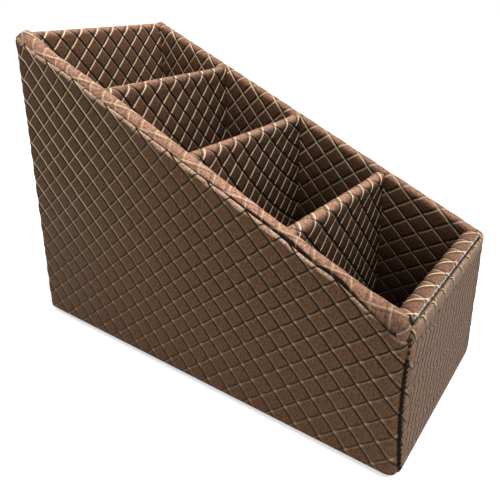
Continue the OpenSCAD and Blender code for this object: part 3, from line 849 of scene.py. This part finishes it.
# Corner stitching
# Black waxed thread runs down the butt joint of the band with short slanted stitches across
# it. Three knots close the joint above them.
thread_material, thread_tree, thread_shader = new_material("black_thread", 0.7, 0.1)
place = thread_tree.nodes.new("ShaderNodeTexCoord")
twist = thread_tree.nodes.new("ShaderNodeTexWave")
twist.wave_type = "BANDS"
twist.bands_direction = "DIAGONAL"
twist.inputs["Scale"].default_value = 1400.0
thread_tree.links.new(place.outputs["Object"], twist.inputs["Vector"])
thread_black = tint(thread_tree, twist.outputs["Fac"], (0.001, 0.001, 0.001), (0.012, 0.010, 0.009))
thread_tree.links.new(thread_black, thread_shader.inputs["Base Color"])


def tube(path, side, radii, count=8):
    """Rings of the given radii along a path, side being a direction across it."""
    ahead = np.gradient(path, axis=0)
    ahead /= np.linalg.norm(ahead, axis=1, keepdims=True)
    second = np.cross(ahead, side)
    angles = np.linspace(0, 2 * math.pi, count + 1)
    toward_side = np.cos(angles)[None, :, None] * side
    toward_second = np.sin(angles)[None, :, None] * second[:, None, :]
    return path[:, None, :] + (toward_side + toward_second) * radii[:, None, None]


def on_corner(z, slide, lift):
    """A point lift mm outside the joint at height z, slid along the skin by slide mm."""
    angle = joint_angle(z) + slide / sewn_r
    r = sewn_r - groove_in + lift
    return np.stack([half_x - sewn_r + r * np.cos(angle),
                     sewn_r - half_y + r * np.sin(angle), z + 0 * angle], -1)


run_r, stitch_r, knot_r = 0.42, 0.31, 0.6
stitch_half, stitch_gap, stitch_slant, knot_half = 1.05, 2.3, 0.45, 0.5
off_corner = np.array([math.sqrt(0.5), -math.sqrt(0.5), 0.0])
seam_z = np.arange(5.2, 58.5, 0.3)
threads = [(on_corner(seam_z, 0.25 * np.sin(seam_z * 2.7), -0.12), run_r)]
for z in np.arange(6.0, 58.0, stitch_gap):
    slide = np.linspace(-stitch_half, stitch_half, 9)
    lift = 0.36 - 0.5 * (slide / stitch_half) ** 2
    threads.append((on_corner(z + stitch_slant * slide, slide, lift), stitch_r))
for z in (60.3, 63.4, 65.9):
    slide = np.linspace(-knot_half, knot_half, 7)
    threads.append((on_corner(z, slide, 0.1), knot_r))
patches = []
for path, thread_r in threads:
    radii = thread_r * np.sqrt(np.clip(1 - np.linspace(-1, 1, len(path)) ** 8, 0.02, 1))
    rings = tube(path, off_corner, radii)
    nothing = np.zeros(rings.shape[:2])
    patches.append((rings, nothing, nothing, {}))
lay_sheet("corner_thread", patches, thread_material, "corner_stitching")

# Base cloth
# A sheet of dark woven cloth is glued over the underside and hides the turned edges.
cloth_material, cloth_tree, cloth_shader = new_material("base_cloth", 0.9, 0.5)
place = cloth_tree.nodes.new("ShaderNodeTexCoord")
weave_x, weave_y = (cloth_tree.nodes.new("ShaderNodeTexWave") for _ in range(2))
for weave, direction in ((weave_x, "X"), (weave_y, "Y")):
    weave.bands_direction = direction
    weave.inputs["Scale"].default_value = 320.0
    cloth_tree.links.new(place.outputs["Object"], weave.inputs["Vector"])
woven = maths(cloth_tree, "MAXIMUM", weave_x.outputs["Fac"], weave_y.outputs["Fac"])
cloth_black = tint(cloth_tree, woven, (0.010, 0.008, 0.007), (0.035, 0.028, 0.023))
cloth_tree.links.new(cloth_black, cloth_shader.inputs["Base Color"])
raise_surface(cloth_tree, cloth_shader, woven, 0.0002)
cad_nodes["base_sheet"].data.materials.clear()
cad_nodes["base_sheet"].data.materials.append(cloth_material)

# Studio
# A pale floor under a white room, one large soft lamp overhead, and the camera of the photo.
floor_mesh = bpy.data.meshes.new("studio_floor")
floor_mesh.from_pydata([(-6, -6, 0), (6, -6, 0), (6, 6, 0), (-6, 6, 0)], [], [(0, 1, 2, 3)])
floor = bpy.data.objects.new("studio_floor", floor_mesh)
bpy.context.scene.collection.objects.link(floor)
floor_material, floor_tree, floor_shader = new_material("pale_floor", 0.9, 0.1)
floor_shader.inputs["Base Color"].default_value = (0.9, 0.9, 0.9, 1)
floor_shader.inputs["Emission Color"].default_value = (1, 1, 1, 1)
rays = floor_tree.nodes.new("ShaderNodeLightPath")
floor_tree.links.new(maths(floor_tree, "MULTIPLY", rays.outputs["Is Camera Ray"], 0.55),
                     floor_shader.inputs["Emission Strength"])
floor_mesh.materials.append(floor_material)

world = bpy.data.worlds.new("white_room")
bpy.context.scene.world = world
world.use_nodes = True
world_tree = world.node_tree
sky = world_tree.nodes["Background"]
sky.inputs["Color"].default_value = (1, 1, 1, 1)
rays = world_tree.nodes.new("ShaderNodeLightPath")
seen = maths(world_tree, "MAXIMUM", rays.outputs["Is Camera Ray"], rays.outputs["Is Glossy Ray"])
seen = maths(world_tree, "MAXIMUM", seen, rays.outputs["Is Transmission Ray"])
world_tree.links.new(maths(world_tree, "MULTIPLY_ADD", seen, 0.45, 0.55), sky.inputs["Strength"])

lamp_data = bpy.data.lights.new("soft_lamp", "AREA")
lamp_data.shape = "RECTANGLE"
lamp_data.size, lamp_data.size_y = 0.9, 0.7
lamp_data.energy = 11.0
lamp = bpy.data.objects.new("soft_lamp", lamp_data)
bpy.context.scene.collection.objects.link(lamp)
lamp.location = (0.5, -0.05, 0.95)
lamp.rotation_mode = "QUATERNION"
lamp.rotation_quaternion = (Vector((0, 0, 0.08)) - lamp.location).to_track_quat("-Z", "Y")

yaw, pitch, roll = math.radians(121.92), math.radians(18.50), math.radians(1.53)
ahead = Vector((math.cos(yaw) * math.cos(pitch), math.sin(yaw) * math.cos(pitch), -math.sin(pitch)))
level = Vector((math.sin(yaw), -math.cos(yaw), 0))
above = level.cross(ahead)
right = math.cos(roll) * level + math.sin(roll) * above
upward = -math.sin(roll) * level + math.cos(roll) * above
camera_data = bpy.data.cameras.new("camera")
camera = bpy.data.objects.new("camera", camera_data)
bpy.context.scene.collection.objects.link(camera)
camera.matrix_world = Matrix((right, upward, -ahead)).transposed().to_4x4()
camera.location = (0.1605, -0.2080, 0.1814)
camera_data.sensor_width = 36.0
focal_px, photo_px = 538.3, 500
camera_data.lens = focal_px / photo_px * camera_data.sensor_width
camera_data.shift_x, camera_data.shift_y = -0.10, -0.15
camera_data.clip_start, camera_data.clip_end = 0.01, 50.0
bpy.context.scene.camera = camera
bpy.context.scene.view_settings.view_transform = "Standard"
